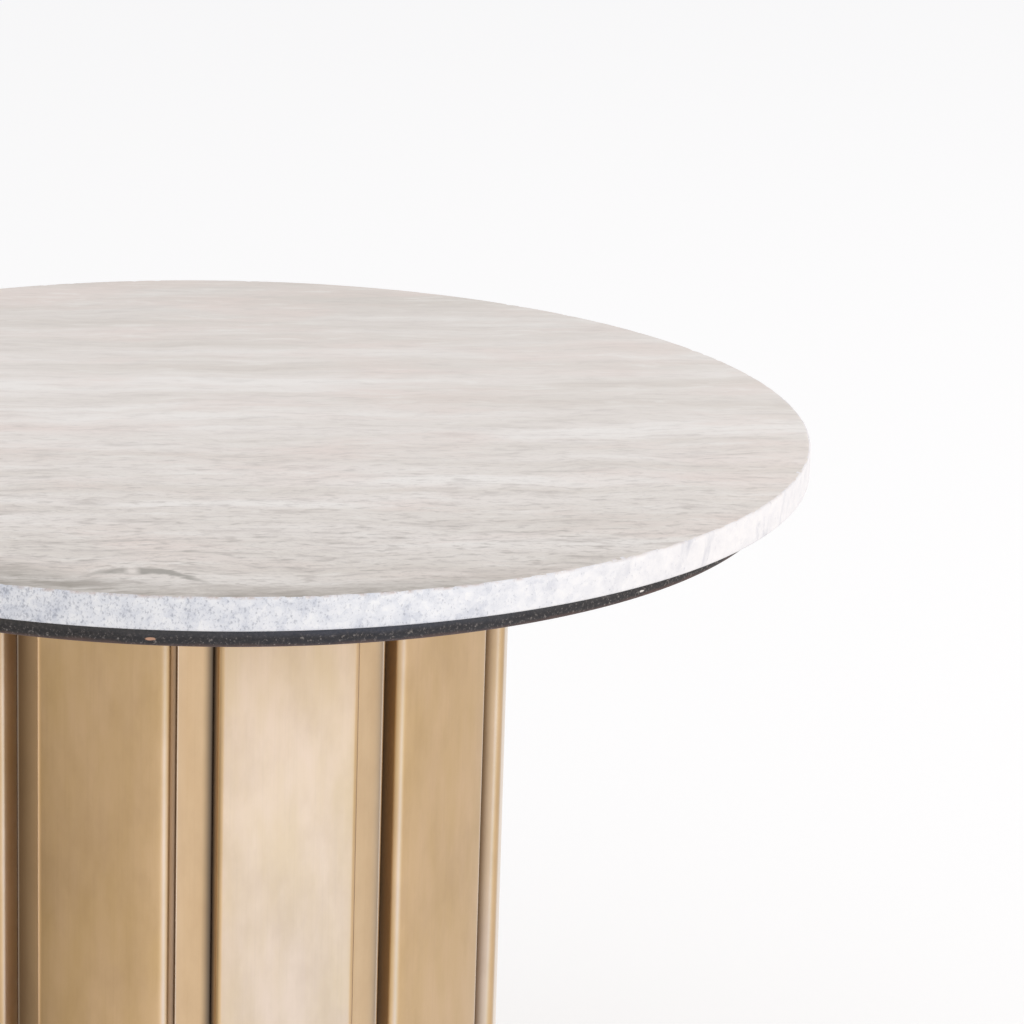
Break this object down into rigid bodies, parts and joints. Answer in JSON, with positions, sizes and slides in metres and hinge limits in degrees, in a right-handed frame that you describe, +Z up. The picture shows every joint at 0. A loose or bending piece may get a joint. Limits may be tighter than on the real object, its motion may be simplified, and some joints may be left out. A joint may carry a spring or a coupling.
{
  "type": "coffee table",
  "caption": "Round stone-topped coffee table on a drum pedestal of flat brass slats parted by sunk grooves, with screw-out levelling glides underneath.",
  "frame": {"origin": "on the floor under the middle of the drum", "axes": "+Z up the drum's axis to the table top; -Y is the front, which one slat faces"},
  "size_m": [0.5599, 0.56, 0.45],
  "materials": {
    "honed_marble": "honed, veined",
    "silicone": "cured bead",
    "black_fibreboard": "sprayed matt black",
    "zinc_steel": "zinc plated",
    "black_steel": "powder coat",
    "stave_timber": "planed, unsealed",
    "antique_brass": "brushed, toned",
    "black_nylon": "moulded"
  },
  "bodies": {
    "table": {"stone_top": "honed_marble", "adhesive_dabs": "silicone", "sub_top": "black_fibreboard", "sub_top_screws": "zinc_steel", "sub_top_weld_nuts": "zinc_steel", "top_plate_screws": "zinc_steel", "bottom_plate_screws": "zinc_steel", "threaded_inserts": "zinc_steel", "top_plate": "black_steel", "bottom_plate": "black_steel", "stave_01": "stave_timber", "stave_02": "stave_timber", "stave_03": "stave_timber", "stave_04": "stave_timber", "stave_05": "stave_timber", "stave_06": "stave_timber", "stave_07": "stave_timber", "stave_08": "stave_timber", "stave_09": "stave_timber", "stave_10": "stave_timber", "slat_skin_01": "antique_brass", "slat_skin_02": "antique_brass", "slat_skin_03": "antique_brass", "slat_skin_04": "antique_brass", "slat_skin_05": "antique_brass", "slat_skin_06": "antique_brass", "slat_skin_07": "antique_brass", "slat_skin_08": "antique_brass", "slat_skin_09": "antique_brass", "slat_skin_10": "antique_brass", "groove_strip_01": "antique_brass", "groove_strip_02": "antique_brass", "groove_strip_03": "antique_brass", "groove_strip_04": "antique_brass", "groove_strip_05": "antique_brass", "groove_strip_06": "antique_brass", "groove_strip_07": "antique_brass", "groove_strip_08": "antique_brass", "groove_strip_09": "antique_brass", "groove_strip_10": "antique_brass"},
    "glide_1_stud": {"glide_stud_1": "zinc_steel"},
    "glide_1_pad": {"glide_pad_1": "black_nylon"},
    "glide_2_stud": {"glide_stud_2": "zinc_steel"},
    "glide_2_pad": {"glide_pad_2": "black_nylon"},
    "glide_3_stud": {"glide_stud_3": "zinc_steel"},
    "glide_3_pad": {"glide_pad_3": "black_nylon"},
    "glide_4_stud": {"glide_stud_4": "zinc_steel"},
    "glide_4_pad": {"glide_pad_4": "black_nylon"},
    "glide_5_stud": {"glide_stud_5": "zinc_steel"},
    "glide_5_pad": {"glide_pad_5": "black_nylon"}
  },
  "joints": [
    {"name": "glide_1_travel", "type": "slide", "parent": "table", "child": "glide_1_stud", "axis": [0, 0, -1], "range_m": [0, 0.01]},
    {"name": "glide_1_turn", "type": "hinge", "parent": "glide_1_stud", "child": "glide_1_pad", "pos_m": [0, -0.1243, 0], "axis": [0, 0, -1], "range_deg": [0, 2880]},
    {"name": "glide_2_travel", "type": "slide", "parent": "table", "child": "glide_2_stud", "axis": [0, 0, -1], "range_m": [0, 0.01]},
    {"name": "glide_2_turn", "type": "hinge", "parent": "glide_2_stud", "child": "glide_2_pad", "pos_m": [0.11822, -0.03841, 0], "axis": [0, 0, -1], "range_deg": [0, 2880]},
    {"name": "glide_3_travel", "type": "slide", "parent": "table", "child": "glide_3_stud", "axis": [0, 0, -1], "range_m": [0, 0.01]},
    {"name": "glide_3_turn", "type": "hinge", "parent": "glide_3_stud", "child": "glide_3_pad", "pos_m": [0.07306, 0.10056, 0], "axis": [0, 0, -1], "range_deg": [0, 2880]},
    {"name": "glide_4_travel", "type": "slide", "parent": "table", "child": "glide_4_stud", "axis": [0, 0, -1], "range_m": [0, 0.01]},
    {"name": "glide_4_turn", "type": "hinge", "parent": "glide_4_stud", "child": "glide_4_pad", "pos_m": [-0.07306, 0.10056, 0], "axis": [0, 0, -1], "range_deg": [0, 2880]},
    {"name": "glide_5_travel", "type": "slide", "parent": "table", "child": "glide_5_stud", "axis": [0, 0, -1], "range_m": [0, 0.01]},
    {"name": "glide_5_turn", "type": "hinge", "parent": "glide_5_stud", "child": "glide_5_pad", "pos_m": [-0.11822, -0.03841, 0], "axis": [0, 0, -1], "range_deg": [0, 2880]}
  ],
  "couplings": [
    {"joint": "glide_1_turn", "follows": "glide_1_travel", "rad_per_m": 5026.5},
    {"joint": "glide_2_turn", "follows": "glide_2_travel", "rad_per_m": 5026.5},
    {"joint": "glide_3_turn", "follows": "glide_3_travel", "rad_per_m": 5026.5},
    {"joint": "glide_4_turn", "follows": "glide_4_travel", "rad_per_m": 5026.5},
    {"joint": "glide_5_turn", "follows": "glide_5_travel", "rad_per_m": 5026.5}
  ]
}
